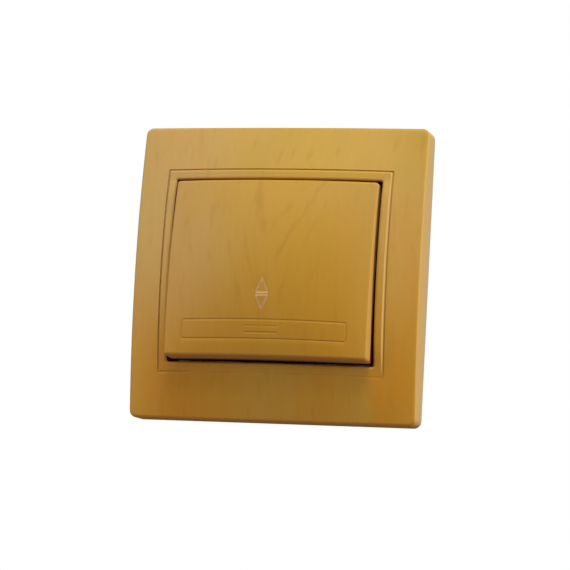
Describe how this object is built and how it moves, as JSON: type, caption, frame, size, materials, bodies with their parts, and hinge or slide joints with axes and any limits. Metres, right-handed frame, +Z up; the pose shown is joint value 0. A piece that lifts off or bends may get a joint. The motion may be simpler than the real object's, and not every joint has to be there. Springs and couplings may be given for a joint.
{
  "type": "two-way light switch",
  "caption": "Flush two-way rocker light switch with a domed square wood-look frame, one large crowned rocker, claw-fixed steel yoke and a screw-terminal changeover mechanism.",
  "frame": {"origin": "centre of the 60 mm box-screw pattern, on the wall's surface", "axes": "+Z up, +X to the right seen from the room, +Y into the wall, so the rocker faces -Y"},
  "size_m": [0.081, 0.0458, 0.081],
  "materials": {
    "wood_print": "satin plastic with a light wood print",
    "zinc_steel": "zinc plated",
    "base_plastic": "moulded, light grey",
    "grey_plastic": "moulded, mid grey",
    "white_plastic": "smooth acetal",
    "spring_steel": "drawn wire",
    "brass": "rolled strip",
    "silver": "silver contact rivet"
  },
  "bodies": {
    "switch_base": {"cover_frame": "wood_print", "yoke": "zinc_steel", "mechanism_housing": "base_plastic", "mechanism_cover": "grey_plastic", "common_terminal": "brass", "terminal_one": "brass", "terminal_two": "brass", "fixed_tips": "silver"},
    "rocker_unit": {"rocker": "wood_print", "carrier": "white_plastic", "plunger_spring": "spring_steel"},
    "plunger_pin": {"plunger": "white_plastic"},
    "contact_seesaw": {"moving_contact": "brass", "moving_tips": "silver"},
    "terminal_screw_one": {"terminal_screw_one": "zinc_steel"},
    "clamp_one": {"clamp_one": "zinc_steel"},
    "terminal_screw_two": {"terminal_screw_two": "zinc_steel"},
    "clamp_two": {"clamp_two": "zinc_steel"},
    "terminal_screw_common": {"terminal_screw_common": "zinc_steel"},
    "clamp_common": {"clamp_common": "zinc_steel"},
    "claw_left": {"claw_left": "zinc_steel"},
    "claw_screw_left": {"claw_screw_left": "zinc_steel"},
    "claw_right": {"claw_right": "zinc_steel"},
    "claw_screw_right": {"claw_screw_right": "zinc_steel"}
  },
  "joints": [
    {"name": "rocker_tilt", "type": "hinge", "parent": "switch_base", "child": "rocker_unit", "pos_m": [0, -0.0105, 0], "axis": [1, 0, 0], "range_deg": [0, 8.6]},
    {"name": "plunger_slide", "type": "slide", "parent": "rocker_unit", "child": "plunger_pin", "axis": [0, -0.9972, 0.075], "range_m": [0, 0.0009], "stiffness_N_per_m": 400, "springref_m": -0.003, "deforming": ["plunger_spring"]},
    {"name": "contact_rock", "type": "hinge", "parent": "switch_base", "child": "contact_seesaw", "pos_m": [0, 0.008, 0], "axis": [1, 0, 0], "range_deg": [-14, 0]},
    {"name": "terminal_screw_one_turn", "type": "hinge", "parent": "switch_base", "child": "terminal_screw_one", "pos_m": [-0.0115, 0.0175, 0.0168], "axis": [0, 0, -1], "range_deg": [0, 1350]},
    {"name": "clamp_one_lift", "type": "slide", "parent": "switch_base", "child": "clamp_one", "axis": [0, 0, 1], "range_m": [0, 0.003]},
    {"name": "terminal_screw_two_turn", "type": "hinge", "parent": "switch_base", "child": "terminal_screw_two", "pos_m": [-0.0115, 0.0175, -0.0168], "axis": [0, 0, 1], "range_deg": [0, 1350]},
    {"name": "clamp_two_lift", "type": "slide", "parent": "switch_base", "child": "clamp_two", "axis": [0, 0, -1], "range_m": [0, 0.003]},
    {"name": "terminal_screw_common_turn", "type": "hinge", "parent": "switch_base", "child": "terminal_screw_common", "pos_m": [0.0115, 0.0175, -0.0168], "axis": [0, 0, 1], "range_deg": [0, 1350]},
    {"name": "clamp_common_lift", "type": "slide", "parent": "switch_base", "child": "clamp_common", "axis": [0, 0, -1], "range_m": [0, 0.003]},
    {"name": "claw_right_swing", "type": "hinge", "parent": "switch_base", "child": "claw_right", "pos_m": [0.0216, 0.002, 0.007], "axis": [0, 0, -1], "range_deg": [0, 14]},
    {"name": "claw_screw_right_turn", "type": "hinge", "parent": "claw_right", "child": "claw_screw_right", "pos_m": [0.025, 0.008, 0.007], "axis": [0, 1, 0], "range_deg": [0, 1800]},
    {"name": "claw_left_swing", "type": "hinge", "parent": "switch_base", "child": "claw_left", "pos_m": [-0.0216, 0.002, -0.007], "axis": [0, 0, 1], "range_deg": [0, 14]},
    {"name": "claw_screw_left_turn", "type": "hinge", "parent": "claw_left", "child": "claw_screw_left", "pos_m": [-0.025, 0.008, -0.007], "axis": [0, 1, 0], "range_deg": [0, 1800]}
  ],
  "couplings": [
    {"joint": "contact_rock", "follows": "rocker_tilt", "ratio": -1.6279},
    {"joint": "terminal_screw_one_turn", "follows": "clamp_one_lift", "rad_per_m": 7854},
    {"joint": "terminal_screw_two_turn", "follows": "clamp_two_lift", "rad_per_m": 7854},
    {"joint": "terminal_screw_common_turn", "follows": "clamp_common_lift", "rad_per_m": 7854},
    {"joint": "claw_right_swing", "follows": "claw_screw_right_turn", "ratio": 0.0077778},
    {"joint": "claw_left_swing", "follows": "claw_screw_left_turn", "ratio": 0.0077778}
  ]
}
